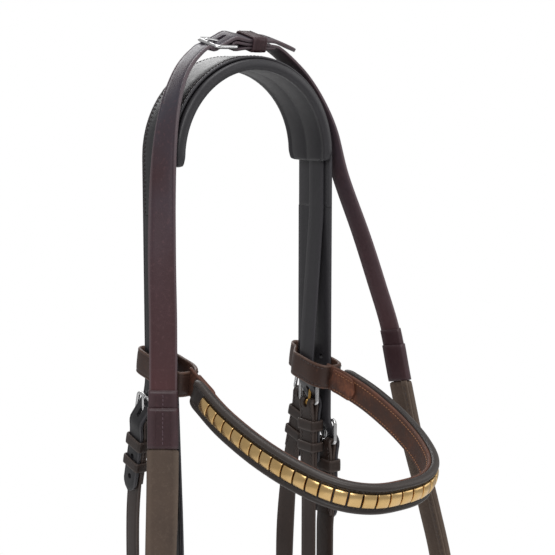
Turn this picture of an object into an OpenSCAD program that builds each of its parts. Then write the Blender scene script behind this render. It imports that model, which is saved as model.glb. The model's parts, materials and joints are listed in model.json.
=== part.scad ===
// Full-size snaffle bridle, hung by its crown over an arch.
// +Z is up, -Y is the browband side (the horse's forehead), +X is the horse's near side.
// The origin is the underside of the crown padding at its highest point.

/* [Crown] */
// Radius of the arch that the crown rests over
crown_r = 60; // [58:0.5:61]
// Width of the headpiece over the poll
crown_w = 38; // [37:0.5:40]
// Thickness of the padding under the headpiece
crown_pad_t = 4.5; // [4:0.1:4.6]

/* [Straps] */
// Thickness of the headpiece, reins and billets
strap_t = 2.6; // [2.4:0.1:2.7]
// Thickness of the light straps and of each layer of a buckle fold
light_t = 2.2; // [2:0.1:2.3]
// Width of the cheek straps
cheek_w = 19; // [18:0.5:19.5]
// Width of the throatlash
throat_w = 16; // [14:0.5:16.5]
// Width of the strap that carries the noseband
nose_w = 16; // [14:0.5:16.5]
// Width of the reins
rein_w = 19; // [17:0.5:20]
// Width of the rubber rein grips
grip_w = 22; // [21:0.5:24]

/* [Browband] */
// Height of the browband
brow_h = 20; // [18:0.5:22]
// Length of one clincher plate
plate_l = 8.4; // [7:0.1:8.6]
// Height of one clincher plate
plate_h = 10; // [8:0.5:12]

/* [Noseband] */
// Height of the noseband's front
nose_h = 28; // [24:0.5:30]
// How far the noseband's front droops, in degrees
nose_tilt = 12; // [8:1:14]

/* [Buckles and bit] */
// Radius of the buckle wire
wire_r = 1.4; // [1.3:0.05:1.45]
// Height of a buckle between its two bars
frame_h = 18; // [17.5:0.1:18.5]
// Radius of a bit ring at the middle of its wire
ring_r = 33.5; // [33:0.5:35]
// Radius of the bit ring's wire
ring_wire = 3.5; // [3.2:0.1:3.6]
// Length of one half of the mouthpiece
cannon_l = 70; // [69.5:0.1:71]

/* [Hidden] */
$fn = 48;
gap = 0.3;

// Colours of the leather, rubber and metal
black_leather = "#2b2a2c";
brown_leather = "#4a413e";
rein_leather = "#4a4650";
rubber = "#5c4e47";
brass = "#c9a05a";
silver = "#d8d8d8";

// A buckle and the two straps that meet in it, seen edge-on. The heel bar is at the
// origin, the folded strap hangs below it, and the billet comes down from above.
fold_r = wire_r + 0.15 + light_t;
lap_in = -(wire_r + 0.5 + strap_t / 2);
lap_out = fold_r + 0.55 + strap_t / 2;
lap_flat = light_t + gap + strap_t / 2;
tongue_r = 1.15;
tongue_lean = 8.4;
tongue_w = 3.4;
slot_low = 3.6;
slot_high = 12.9;

// Layers over the crown, from the inside out
nose_x = crown_r + crown_pad_t + gap + light_t / 2;
head_x = crown_r + crown_pad_t + light_t + 2 * gap + strap_t / 2;
heel_x = head_x - lap_in;
crown_z = -crown_r;
pad_end_z = -66;

// Fore-and-aft place of each strap
cheek_y = -crown_w / 2 + cheek_w / 2;
throat_y = crown_w / 2 - throat_w / 2;
nose_y = -5;

// Heights of the buckles' heel bars
cheek_heel_z = -278;
nose_heel_z = -247;
throat_pivot_z = -218;
throat_heel = 29;
throat_lean = 15;

// Browband loops
loop_near_z = -223.8;
loop_off_z = -212.5;
loop_tilt = 11;
loop_h = 18.5;
loop_t = 2.6;

// Headstrap and noseband
nose_heel_x = 59.5;
nose_z = -430;
nose_half = 56.8;
nose_t = 3;
nose_front_y = -52;
nose_rear_y = 70;
nose_buckle_y = 62;

// Bit
ring_z = -522;
ring_top_z = ring_z + ring_r;
rein_angle = 36;
eye_apart = 3.4;
droop = acos((heel_x - eye_apart) / cannon_l);
eye_r = 6.5;
eye_wire = 2.2;

// Rein buckle over the crown
rein_heel = [-12, -4, 18.5];
rein_roll = 15;

// Routes: x, y, z and the direction of the strap's width in degrees from +X
throat_route = [
    [71.8, 26.8, -277.2, 90], [71.4, 31, -293, 92], [70.6, 35, -320, 100], [69.6, 37.5, -355, 108],
    [68.8, 38, -390, 104], [68.4, 38, -430, 94], [64, 36, -475, 90], [56, 34, -530, 90],
    [46, 32, -585, 90], [32, 31, -625, 90], [16, 30, -645, 90], [0, 30, -651, 90],
    [-16, 30, -645, 90], [-32, 31, -625, 90], [-46, 32, -585, 90], [-56, 34, -530, 90],
    [-64, 36, -475, 90], [-68.4, 38, -430, 90], [-70, 38, -390, 90], [-71, 37, -355, 90],
    [-71.6, 35, -320, 90], [-71.8, 31, -293, 90], [-71.8, 26.8, -277.2, 90]];
rein_right_route = [
    [18, -4, 18.5, 90], [27, -4, 15, 90], [38, -5, 7, 90], [51, -6, -5, 90], [63, -8, -22, 90],
    [72, -12, -44, 90], [79, -17, -77, 90], [90, -28, -120, 92], [97, -38.5, -157, 93],
    [103, -47, -190, 94], [107, -54, -228, 94], [111, -64, -272, 93], [118, -75, -320, 92],
    [124, -85, -370, 91], [128, -92, -440, 94], [129, -95, -530, 104], [127, -91, -630, 126],
    [122, -81, -730, 148], [114, -63, -820, 170], [105, -38, -880, 190], [96, -8, -900, 198],
    [88, 22, -880, 195], [81, 42, -820, 180], [77, 52, -750, 155], [74.5, 56, -690, 125],
    [73, 55.5, -650, 105], [71.8, 50.8, -605, 90]];
rein_left_route = [
    [-35, -4, 15.1, 90], [-42, -4.5, 10, 90], [-50, -6, 2.5, 90], [-58, -8.5, -8.5, 92],
    [-66, -12.5, -24, 100], [-72.6, -16, -48, 112], [-77, -19, -80, 126], [-80, -22, -125, 140],
    [-81, -24, -170, 143], [-82.5, -25.5, -215, 143], [-84, -26.5, -255, 143],
    [-86, -28, -292, 150], [-88.5, -29, -335, 163], [-91, -29, -400, 180], [-94, -28, -480, 184],
    [-97, -25, -570, 180], [-99, -20, -660, 174], [-99.5, -13, -750, 168], [-99, -2, -830, 165],
    [-95, 16, -885, 164], [-89, 38, -900, 164], [-83, 58, -880, 162], [-79, 68, -820, 150],
    [-76, 68, -750, 130], [-74, 64, -690, 110], [-72.8, 58.5, -645, 96], [-71.8, 50.8, -605, 90]];
// First and last route point of each stretch of a rein
rein_steps = 3;
splice_from = 9;
grip_from = 10;
grip_to = 21;
splice_to = 22;
// The browband, seen square to the plane that it hangs in, with its ends lifted or let down
brow_route = [
    [62, -7, -5], [62.5, -20, -3.2], [62, -46, -1], [59, -76, 0], [54.5, -101, 0], [48.5, -120, 0],
    [41, -135, 0], [31, -145.5, 0], [17, -152, 0], [0, -153.5, 0], [-17, -152, 0], [-31, -145.5, 0],
    [-41, -135, 0], [-48.5, -120, 0], [-54.5, -101, 0], [-59, -76, 0.3], [-62, -46, 2],
    [-62.5, -20, 5.4], [-62, -2.5, 7]];
brow_start = [0, -25.4, -218];
brow_tilt = 18.5;
// A browband loop in plan, round the headpiece and the headstrap
loop_plan = [
    [62, -1.6], [69.8, -0.9], [72.8, 5], [72.8, 20], [72.8, 35], [72.8, 45], [71.4, 50.2],
    [67.5, 51.8], [63.8, 48.2], [61.8, 41.5], [57.2, 36.5], [53.4, 31], [53, 21], [53, 9], [56.5, 0.2]];

function unit(v) = v / norm(v);
function reversed(v) = [for (i = [len(v) - 1 : -1 : 0]) v[i]];

// Direction of a path at point i
function heading(p, i) = unit(p[min(i + 1, len(p) - 1)] - p[max(i - 1, 0)]);

// Outline of a strap seen edge-on, from the 2-D path of its middle
function side(p, i, t) = let (h = heading(p, i)) [-h[1], h[0]] * t / 2;
function ribbon(p, t) = concat(
    [for (i = [0 : len(p) - 1]) p[i] + side(p, i, t)],
    [for (i = [len(p) - 1 : -1 : 0]) p[i] - side(p, i, t)]);

// Points of a circular arc
function arc(c, r, from, to, n) = [
    for (i = [0 : n]) let (a = from + (to - from) * i / n) c + r * [cos(a), sin(a)]];

// A smooth curve through every route point, with n steps between two points
function curve_point(a, b, c, d, u) =
    0.5 * (2 * b + (c - a) * u + (2 * a - 5 * b + 4 * c - d) * u * u
           + (3 * b - a - 3 * c + d) * u * u * u);
function smooth(p, n) = concat(
    [for (i = [0 : len(p) - 2]) for (k = [0 : n - 1])
        curve_point(p[max(i - 1, 0)], p[i], p[i + 1], p[min(i + 2, len(p) - 1)], k / n)],
    [p[len(p) - 1]]);

// Four corners of a strap's section at point i: across is the way its width runs
function corners(p, across, i, w, t) =
    let (h = heading(p, i),
         a = unit(across[i] - (across[i] * h) * h) * w / 2,
         n = unit(cross(h, a)) * t / 2)
    [p[i] + a + n, p[i] - a + n, p[i] - a - n, p[i] + a - n];

// A flat strap swept along points from..to of a 3-D path
module sweep(p, across, w, t, from, to) {
    rings = to - from;
    points = [for (i = [from : to]) each corners(p, across, i, w, t)];
    sides = [
        for (i = [0 : rings - 1]) for (k = [0 : 3])
            let (a = 4 * i + k, b = 4 * i + (k + 1) % 4)
                each [[a, b + 4, b], [a, a + 4, b + 4]]];
    last = 4 * rings;
    ends = [[0, 1, 2], [0, 2, 3], [last, last + 2, last + 1], [last, last + 3, last + 2]];
    polyhedron(points, concat(sides, ends));
}

// A stretch of a rein or throatlash between two of its route points
module stretch(route, w, t, from, to) {
    fine = smooth(route, rein_steps);
    sweep([for (p = fine) [p[0], p[1], p[2]]], [for (p = fine) [cos(p[3]), sin(p[3]), 0]],
          w, t, from * rein_steps, to * rein_steps);
}

// A strap seen edge-on in X and Z, w wide along Y
module strap_along(path, w, t) {
    rotate([90, 0, 0]) linear_extrude(height = w, center = true) polygon(ribbon(path, t));
}

// A wide block with a strap's outline in Y and Z, pointed at its lower end
module outline(w, top, bottom, point) {
    rotate([90, 0, 90]) linear_extrude(height = 60, center = true) polygon([
        [-w / 2, top], [w / 2, top], [w / 2, bottom + point], [1, bottom],
        [-1, bottom], [-w / 2, bottom + point]]);
}

// Punched holes through a strap at the given heights
module holes(heights) {
    for (z = heights) translate([0, 0, z]) rotate([0, 90, 0]) cylinder(r = 2, h = 40, center = true);
}

// Rectangle with round corners, from [x0, y0] to [x1, y1]
module round_rect(x0, x1, y0, y1, r) {
    translate([x0 + r, y0]) square([x1 - x0 - 2 * r, y1 - y0]);
    translate([x0, y0 + r]) square([x1 - x0, y1 - y0 - 2 * r]);
    for (x = [x0 + r, x1 - r]) for (y = [y0 + r, y1 - r]) translate([x, y]) circle(r = r);
}

// Places a part on the near side (+X), and its mirror image on the off side
module on_side(side) {
    if (side == "right") children();
    else mirror([1, 0, 0]) children();
}

// Middle of the billet through a buckle, from a height above the heel bar to its tip
function lap_path(up, down) = [
    [lap_in, up], [lap_in, frame_h - 1], [lap_out, 1], [lap_out, -2], [lap_flat, -11],
    [lap_flat, -down]];

// Room in the billet for the tongue, over its whole swing
module tongue_slot() {
    translate([-6, -tongue_w / 2, slot_low]) cube([14, tongue_w, slot_high - slot_low]);
}

module billet(w, up, down, hole_z) {
    difference() {
        intersection() {
            strap_along(lap_path(up, down), w + 2, strap_t);
            outline(w, up, -down, 7);
        }
        tongue_slot();
        holes(hole_z);
    }
}

// The strap end that is folded round the heel bar and sewn to itself
module buckle_fold(w, length) {
    difference() {
        rotate([90, 0, 0]) linear_extrude(height = w, center = true) {
            circle(r = fold_r);
            polygon([[-3.4, -1], [3.4, -1], [light_t, -10], [light_t, -length],
                     [-light_t, -length], [-light_t, -10]]);
        }
        rotate([90, 0, 0]) cylinder(r = wire_r + 0.15, h = w + 2, center = true);
        translate([-5, -2.1, -3.4]) cube([10, 4.2, 9]);
    }
}

module buckle(w) {
    half = w / 2 + 0.75 + wire_r;
    corner = 3;
    color(silver) {
        for (z = [0, frame_h]) translate([0, half - corner, z]) rotate([90, 0, 0])
            cylinder(r = wire_r, h = 2 * (half - corner));
        for (y = [-half, half]) translate([0, y, corner])
            cylinder(r = wire_r, h = frame_h - 2 * corner);
        for (a = [0, 90, 180, 270]) translate([0,
                (a == 0 || a == 270 ? 1 : -1) * (half - corner),
                a < 180 ? frame_h - corner : corner])
            rotate([90, 0, 90]) rotate([0, 0, a]) rotate_extrude(angle = 90)
                translate([corner, 0]) circle(r = wire_r);
    }
}

module tongue(metal) {
    color(metal) difference() {
        union() {
            rotate([90, 0, 0]) cylinder(r = 3, h = tongue_w, center = true);
            rotate([0, tongue_lean, 0]) translate([0, 0, 2]) cylinder(r = tongue_r, h = frame_h);
        }
        rotate([90, 0, 0]) cylinder(r = wire_r + 0.05, h = tongue_w + 2, center = true);
    }
}

// Leather loop round a folded strap and the billet that lies on it
module keeper(w, z, length) {
    inner = light_t + 0.35;
    outer = lap_flat + strap_t / 2 + 0.35;
    t = 1.5;
    translate([0, 0, z - length]) linear_extrude(height = length) difference() {
        round_rect(-inner - t, outer + t, -w / 2 - 0.4 - t, w / 2 + 0.4 + t, 1.4);
        round_rect(-inner, outer, -w / 2 - 0.4, w / 2 + 0.4, 0.4);
    }
}

// The lower end of a strap, folded up round the bit ring. The ring's wire is at the origin.
leg_x = 1.4;
wire_leg = ring_wire + 0.4 + light_t / 2;
function ring_fold_path(outer_up, inner_up) = concat(
    [[0, outer_up], [0, 72], [leg_x, 62], [leg_x, 20], [wire_leg, 2]],
    arc([0, -1.3], wire_leg, 0, -180, 14),
    [[-wire_leg, 2], [-leg_x, 20], [-leg_x, inner_up]]);

module ring_fold(w, outer_up) {
    difference() {
        strap_along(ring_fold_path(outer_up, 56), w, light_t);
        stud_hole();
    }
}

module stud_hole() {
    translate([0, 0, 40]) rotate([0, 90, 0]) cylinder(r = 1.35, h = 12, center = true);
}

module hook_stud() {
    color(silver) translate([0, 0, 40]) rotate([0, 90, 0]) {
        translate([0, 0, -4.2]) cylinder(r = 1.2, h = 7);
        translate([0, 0, -4.2]) cylinder(r = 3.4, h = 1.4);
        translate([0, 0, 2.8]) cylinder(r = 2.6, h = 0.7);
    }
}

module billet_keepers(w) {
    inner = leg_x + light_t / 2 + 0.3;
    for (z = [24, 48]) translate([0, 0, z]) linear_extrude(height = 6) difference() {
        round_rect(-inner - 1.5, inner + 1.5, -w / 2 - 1.9, w / 2 + 1.9, 1.4);
        round_rect(-inner, inner, -w / 2 - 0.4, w / 2 + 0.4, 0.4);
    }
}

// Places: each puts a local heel bar or ring wire where it belongs on the near side
module at_cheek() { translate([heel_x, cheek_y, cheek_heel_z]) children(); }
module at_throat() {
    translate([heel_x, throat_y, throat_pivot_z]) rotate([throat_lean, 0, 0])
        translate([0, 0, -throat_heel]) children();
}
module at_browband() { translate(brow_start) rotate([brow_tilt, 0, 0]) children(); }
module at_headstrap() { translate([nose_heel_x, nose_y, nose_heel_z]) children(); }
module at_noseband() { translate([0, nose_y, nose_z]) rotate([nose_tilt, 0, 0]) children(); }
module at_noseband_buckle() {
    at_noseband() translate([nose_half, nose_buckle_y, 0]) rotate([-90, 0, 0]) children();
}
module at_ring_top() { translate([heel_x, cheek_y, ring_top_z]) children(); }
module at_ring() { translate([heel_x, cheek_y, ring_z]) children(); }
module at_rein_fold() { at_ring() rotate([180 + rein_angle, 0, 0]) translate([0, 0, ring_r]) children(); }
module at_rein_buckle() { translate(rein_heel) rotate([rein_roll, 0, 0]) rotate([0, -90, 0]) children(); }
module at_cannon() { translate([heel_x, cheek_y, ring_z - ring_r]) rotate([0, -90 - droop, 0]) children(); }

// A half circle of strap over the crown, w wide along Y
module crown_arc(r, t, w) {
    translate([0, 0, crown_z]) rotate([90, 0, 0]) rotate_extrude(angle = 180)
        translate([r - t / 2, -w / 2]) square([t, w]);
}

module headpiece() {
    top = cheek_heel_z - crown_z;
    color(black_leather) {
        crown_arc(head_x, strap_t, crown_w);
        for (side = ["left", "right"]) on_side(side) {
            at_cheek() billet(cheek_w, -top, 62, [-30, -48, 46, 66]);
            translate([head_x - strap_t / 2, throat_y - throat_w / 2, throat_pivot_z])
                cube([strap_t, throat_w, crown_z - throat_pivot_z]);
            translate([head_x - strap_t / 2, throat_y, throat_pivot_z]) rotate([0, 90, 0])
                cylinder(r = throat_w / 2 - 0.15, h = strap_t);
            at_throat() billet(throat_w, throat_heel, 56, [-28, -44]);
        }
    }
}

module headpiece_padding() {
    pad_x = crown_r + crown_pad_t / 2;
    color(black_leather) {
        crown_arc(pad_x, crown_pad_t, crown_w + 8);
        for (side = ["left", "right"]) on_side(side)
            translate([crown_r, -crown_w / 2 - 4, pad_end_z])
                cube([crown_pad_t, crown_w + 8, crown_z - pad_end_z]);
    }
}

module noseband_headstrap() {
    up = crown_z - nose_heel_z;
    color(black_leather) {
        translate([0, nose_y, 0]) crown_arc(nose_x, light_t, nose_w);
        at_headstrap() difference() {
            intersection() {
                strap_along(concat([[nose_x - nose_heel_x, up], [nose_x - nose_heel_x, up - 45]],
                    [for (p = lap_path(24, 50)) p]), nose_w + 2, light_t);
                outline(nose_w, up, -50, 7);
            }
            tongue_slot();
            holes([-26, -40]);
        }
        translate([0, nose_y, 0]) strap_along([[-nose_x, crown_z], [-nose_x, crown_z - 45],
            [-nose_half - nose_t / 2 - light_t / 2, -330],
            [-nose_half - nose_t / 2 - light_t / 2, nose_z - 12]], nose_w, light_t);
    }
}

brow_path = smooth(brow_route, 2);
brow_last = len(brow_path) - 1;
brow_strap_t = 2.5;
brow_pad_t = 4.6;
plate_t = 1;
plate_gap = 1;
bare_end = 13;

// The browband's middle line, moved away from the forehead
function brow_layer(d) = [
    for (i = [0 : brow_last]) brow_path[i] + unit(cross([0, 0, 1], heading(brow_path, i))) * d];

// One layer of the browband, t thick, between two points of its path
module brow_strip(d, t, from, to) {
    sweep(brow_layer(d), [for (p = brow_path) [0, 0, 1]], brow_h, t, from, to);
}

module browband_strap() {
    color(brown_leather) at_browband() brow_strip(0, brow_strap_t, 0, brow_last);
}

module browband_padding() {
    color(black_leather) at_browband()
        brow_strip(brow_strap_t / 2 + gap + brow_pad_t / 2, brow_pad_t, 1, brow_last - 1);
}

// Distance along a path up to point i, and the first point at or past a distance
function run(p, i) = i == 0 ? 0 : run(p, i - 1) + norm(p[i] - p[i - 1]);
function past(p, s, i = 1) = i == len(p) - 1 || run(p, i) >= s ? i : past(p, s, i + 1);

module browband_plates() {
    face = brow_layer(brow_strap_t / 2 + brow_pad_t + plate_t / 2 + 2 * gap);
    length = run(face, brow_last);
    pitch = plate_l + plate_gap;
    count = 2 * floor((length / 2 - bare_end) / pitch);
    color(brass) at_browband() for (k = [0 : count - 1]) {
        s = length / 2 + (k - (count - 1) / 2) * pitch;
        i = past(face, s);
        along = unit(face[i] - face[i - 1]);
        translate(face[i - 1] + (s - run(face, i - 1)) * along)
            rotate([0, -asin(along[2]), atan2(along[1], along[0])])
                cube([plate_l, plate_t, plate_h], center = true);
    }
}

module browband_loop(side) {
    n = len(loop_plan);
    line = smooth(concat([loop_plan[n - 1]], loop_plan, [loop_plan[0], loop_plan[1]]), 3);
    around = [3 : 3 * n + 2];
    z = side == "right" ? loop_near_z : loop_off_z;
    color(brown_leather) on_side(side) translate([0, brow_start[1], z]) rotate([loop_tilt, 0, 0])
        translate([0, 0, -loop_h / 2]) linear_extrude(height = loop_h) difference() {
            polygon([for (i = around) line[i] - side(line, i, loop_t)]);
            polygon([for (i = around) line[i] + side(line, i, loop_t)]);
        }
}

module cheekpiece(side) {
    length = cheek_heel_z - ring_top_z;
    color(brown_leather) on_side(side) {
        at_cheek() buckle_fold(cheek_w, 56);
        at_ring_top() ring_fold(cheek_w, length - 50);
    }
}

module throatlash() {
    color(brown_leather) {
        for (side = ["left", "right"]) on_side(side) at_throat() buckle_fold(throat_w, 48);
        stretch(throat_route, throat_w, light_t, 0, len(throat_route) - 1);
    }
}

module noseband_cheek() {
    color(brown_leather) at_headstrap() {
        buckle_fold(nose_w, 50);
        strap_along([[0, -45], [0, -120], [nose_half + nose_t / 2 + light_t / 2 - nose_heel_x, -150],
            [nose_half + nose_t / 2 + light_t / 2 - nose_heel_x, nose_z - nose_heel_z - 12]],
            nose_w, light_t);
    }
}

// The noseband in plan, from the buckle fold forward round the nose to the off side
function nose_plan(r, near_y, off_y) = concat([[r, near_y]],
    arc([0, nose_front_y], r, 0, -180, 24), [[-r, off_y]]);

module noseband_band() {
    color(brown_leather) {
        at_noseband_buckle() buckle_fold(nose_w, 44);
        at_noseband() {
            translate([0, 0, -nose_w / 2]) linear_extrude(height = nose_w)
                polygon(ribbon([[nose_half, nose_buckle_y - 40], [nose_half, -22]], nose_t));
            translate([0, 0, -nose_h / 2]) linear_extrude(height = nose_h)
                polygon(ribbon(nose_plan(nose_half, 15, 20), nose_t));
        }
    }
}

module noseband_padding() {
    color(black_leather) at_noseband() translate([0, 0, -nose_h / 2 - 1]) linear_extrude(height = nose_h + 2)
        polygon(ribbon(nose_plan(nose_half - nose_t / 2 - gap - 2.5, -24, -24), 5));
}

module noseband_chin_strap() {
    start = nose_half - nose_t / 2 - light_t / 2;
    rear = arc([0, nose_rear_y], start, 180, 25, 20);
    up = [for (p = reversed(lap_path(18.5, 46))) [nose_half + p[0], nose_buckle_y + p[1]]];
    color(brown_leather) at_noseband() difference() {
        translate([0, 0, -nose_w / 2]) linear_extrude(height = nose_w)
            polygon(ribbon(concat([[-start, 0]], rear, [[nose_half + lap_in, nose_buckle_y + 24]],
                reversed(up)), light_t));
        translate([nose_half, nose_buckle_y, 0]) rotate([-90, 0, 0]) {
            tongue_slot();
            holes([-26, -38]);
        }
    }
}

module bit_ring(side) {
    color(silver) on_side(side) at_ring() rotate([0, 90, 0]) rotate_extrude()
        translate([ring_r, 0]) circle(r = ring_wire);
}

// One half of the mouthpiece. The left eye stands upright and the right one lies flat.
module bit_cannon(side) {
    color(silver) on_side(side) difference() {
        at_cannon() {
            sphere(r = 9);
            translate([0, 0, 3]) cylinder(r1 = 8, r2 = 5, h = cannon_l - 3 - eye_r);
            translate([0, 0, cannon_l]) rotate(side == "left" ? [90, 0, 0] : [0, 90, 0])
                rotate_extrude() translate([eye_r, 0]) circle(r = eye_wire);
        }
        at_ring() rotate([0, 90, 0]) rotate_extrude()
            translate([ring_r, 0]) circle(r = ring_wire + 0.08);
    }
}

module rein_hand(side) {
    color(rein_leather) {
        if (side == "right") {
            at_rein_buckle() buckle_fold(rein_w, 34);
            stretch(rein_right_route, rein_w, light_t, 0, splice_from);
        } else {
            at_rein_buckle() difference() {
                intersection() {
                    strap_along([[lap_in, 25], [lap_in, 17], [lap_out, 1], [lap_out, -2],
                        [lap_flat, -11], [lap_flat, -34], [lap_flat - 3.5, -46], [lap_flat - 8, -58]],
                        rein_w + 2, strap_t);
                    outline(rein_w, 25, -58, 8);
                }
                tongue_slot();
                holes([-34]);
            }
            stretch(rein_left_route, rein_w, strap_t, 0, splice_from);
        }
    }
}

function rein_route(side) = side == "right" ? rein_right_route : rein_left_route;

module rein_splices(side) {
    color(rein_leather) {
        stretch(rein_route(side), rein_w + 2, 5.4, splice_from, grip_from);
        stretch(rein_route(side), rein_w + 2, 5.4, grip_to, splice_to);
    }
}

module rein_grip(side) {
    color(rubber) stretch(rein_route(side), grip_w, 4.8, grip_from, grip_to);
}

module rein_billet(side) {
    color(rein_leather) {
        on_side(side) at_rein_fold() ring_fold(rein_w, 76);
        stretch(rein_route(side), rein_w, light_t, splice_to, len(rein_right_route) - 1);
    }
}

module hook_studs() {
    for (side = ["left", "right"]) on_side(side) {
        at_ring_top() hook_stud();
        at_rein_fold() hook_stud();
    }
}

headpiece();
headpiece_padding();
noseband_headstrap();
browband_strap();
browband_padding();
browband_plates();
throatlash();
noseband_cheek();
noseband_band();
noseband_padding();
noseband_chin_strap();
hook_studs();
at_headstrap() buckle(nose_w);  // headstrap_buckle
at_headstrap() tongue(brass);  // headstrap_tongue
color(brown_leather) at_headstrap() keeper(nose_w, -13, 8);  // headstrap_keeper
color(brown_leather) at_headstrap() keeper(nose_w, -30, 7);  // headstrap_runner
at_noseband_buckle() buckle(nose_w);  // noseband_buckle
at_noseband_buckle() tongue(silver);  // noseband_tongue
color(brown_leather) at_noseband_buckle() keeper(nose_w, -13, 7);  // noseband_keeper
color(brown_leather) at_noseband_buckle() keeper(nose_w, -25, 6);  // noseband_runner
at_rein_buckle() buckle(rein_w);  // rein_buckle
at_rein_buckle() tongue(silver);  // rein_tongue
color(rein_leather) at_rein_buckle() keeper(rein_w, -13, 12);  // rein_keeper
for (side = ["left", "right"]) {
    browband_loop(side);
    cheekpiece(side);
    on_side(side) at_cheek() buckle(cheek_w);
    on_side(side) at_cheek() tongue(silver);
    color(brown_leather) on_side(side) at_cheek() keeper(cheek_w, -13, 9);
    color(brown_leather) on_side(side) at_cheek() keeper(cheek_w, -32, 8);
    color(brown_leather) on_side(side) at_ring_top() billet_keepers(cheek_w);
    on_side(side) at_throat() buckle(throat_w);
    on_side(side) at_throat() tongue(silver);
    color(brown_leather) on_side(side) at_throat() keeper(throat_w, -13, 8);
    color(brown_leather) on_side(side) at_throat() keeper(throat_w, -30, 7);
    bit_ring(side);
    bit_cannon(side);
    rein_hand(side);
    rein_grip(side);
    rein_splices(side);
    rein_billet(side);
    color(rein_leather) on_side(side) at_rein_fold() billet_keepers(rein_w);
}
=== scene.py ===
"""Snaffle bridle hung by its crown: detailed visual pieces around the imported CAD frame."""
import json
import math

import bmesh
import bpy
from mathutils import Matrix, Vector


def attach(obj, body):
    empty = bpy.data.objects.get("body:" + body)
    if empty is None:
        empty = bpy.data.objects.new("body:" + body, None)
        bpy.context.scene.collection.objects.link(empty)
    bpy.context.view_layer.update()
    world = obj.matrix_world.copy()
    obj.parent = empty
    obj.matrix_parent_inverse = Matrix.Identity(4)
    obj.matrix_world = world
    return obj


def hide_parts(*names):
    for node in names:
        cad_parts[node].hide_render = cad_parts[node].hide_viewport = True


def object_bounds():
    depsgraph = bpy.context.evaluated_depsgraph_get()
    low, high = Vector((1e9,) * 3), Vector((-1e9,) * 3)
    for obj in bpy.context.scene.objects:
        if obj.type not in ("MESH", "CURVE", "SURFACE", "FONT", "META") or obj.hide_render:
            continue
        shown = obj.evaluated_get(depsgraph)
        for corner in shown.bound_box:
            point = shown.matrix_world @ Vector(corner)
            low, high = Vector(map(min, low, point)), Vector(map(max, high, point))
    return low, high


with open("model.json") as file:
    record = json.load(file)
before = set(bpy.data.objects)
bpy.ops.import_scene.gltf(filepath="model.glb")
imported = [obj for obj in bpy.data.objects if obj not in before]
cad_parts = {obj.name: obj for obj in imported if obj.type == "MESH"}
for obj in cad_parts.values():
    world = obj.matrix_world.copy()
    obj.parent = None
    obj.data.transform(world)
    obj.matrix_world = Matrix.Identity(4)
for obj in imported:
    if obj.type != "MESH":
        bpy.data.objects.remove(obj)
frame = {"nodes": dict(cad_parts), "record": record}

cad_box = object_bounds()
MM = 0.001

# ---------------------------------------------------------------- sizes, in millimetres
CROWN_R = 60.0
CROWN_W = 38.0
PAD_T = 4.5
STRAP_T = 2.6
LIGHT_T = 2.2
CHEEK_W = 19.0
THROAT_W = 16.0
NOSE_W = 16.0
REIN_W = 19.0
GRIP_W = 22.0
BROW_H = 20.0
NOSE_H = 28.0
WIRE_R = 1.4
FRAME_H = 18.0
RING_R = 33.5
RING_WIRE = 3.5
GAP = 0.3
NOSE_TILT = 12.0
NOSE_FRONT_Y = -52.0
CHEEK_HEEL_Z = -278.0
THROAT_PIVOT_Z = -218.0
THROAT_HEEL = 29.0
RING_Z = -522.0
BROW_STRAP_T = 2.5
BROW_PAD_T = 4.6
PLATE_L = 8.4
PLATE_H = 10.0
LOOP_H = 18.5
LOOP_Z = {"right": -223.8, "left": -212.5}

FOLD_R = WIRE_R + 0.15 + LIGHT_T
FOLD_LEG = LIGHT_T / 2 + 0.05
LAP_IN = -(WIRE_R + 0.5 + STRAP_T / 2)
LAP_OUT = FOLD_R + 0.55 + STRAP_T / 2
LAP_FLAT = LIGHT_T + GAP + STRAP_T / 2
HEADSTRAP_X = CROWN_R + PAD_T + GAP + LIGHT_T / 2
HEAD_X = CROWN_R + PAD_T + LIGHT_T + 2 * GAP + STRAP_T / 2
HEEL_X = HEAD_X - LAP_IN
CHEEK_Y = -CROWN_W / 2 + CHEEK_W / 2
THROAT_Y = CROWN_W / 2 - THROAT_W / 2
NOSE_Y = -5.0
RING_TOP_Z = RING_Z + RING_R
NOSE_HALF = 56.8
NOSE_T = 3.0

# ---------------------------------------------------------------- routes, as in the CAD
# x, y, z and the direction of the strap's width in degrees from +X
THROAT_ROUTE = [
    (71.8, 26.8, -277.2, 90), (71.4, 31, -293, 92), (70.6, 35, -320, 100), (69.6, 37.5, -355, 108),
    (68.8, 38, -390, 104), (68.4, 38, -430, 94), (64, 36, -475, 90), (56, 34, -530, 90),
    (46, 32, -585, 90), (32, 31, -625, 90), (16, 30, -645, 90), (0, 30, -651, 90),
    (-16, 30, -645, 90), (-32, 31, -625, 90), (-46, 32, -585, 90), (-56, 34, -530, 90),
    (-64, 36, -475, 90), (-68.4, 38, -430, 90), (-70, 38, -390, 90), (-71, 37, -355, 90),
    (-71.6, 35, -320, 90), (-71.8, 31, -293, 90), (-71.8, 26.8, -277.2, 90)]
REIN_RIGHT_ROUTE = [
    (18, -4, 18.5, 90), (27, -4, 15, 90), (38, -5, 7, 90), (51, -6, -5, 90), (63, -8, -22, 90),
    (72, -12, -44, 90), (79, -17, -77, 90), (90, -28, -120, 92), (97, -38.5, -157, 93),
    (103, -47, -190, 94), (107, -54, -228, 94), (111, -64, -272, 93), (118, -75, -320, 92),
    (124, -85, -370, 91), (128, -92, -440, 94), (129, -95, -530, 104), (127, -91, -630, 126),
    (122, -81, -730, 148), (114, -63, -820, 170), (105, -38, -880, 190), (96, -8, -900, 198),
    (88, 22, -880, 195), (81, 42, -820, 180), (77, 52, -750, 155), (74.5, 56, -690, 125),
    (73, 55.5, -650, 105), (71.8, 50.8, -605, 90)]
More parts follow.
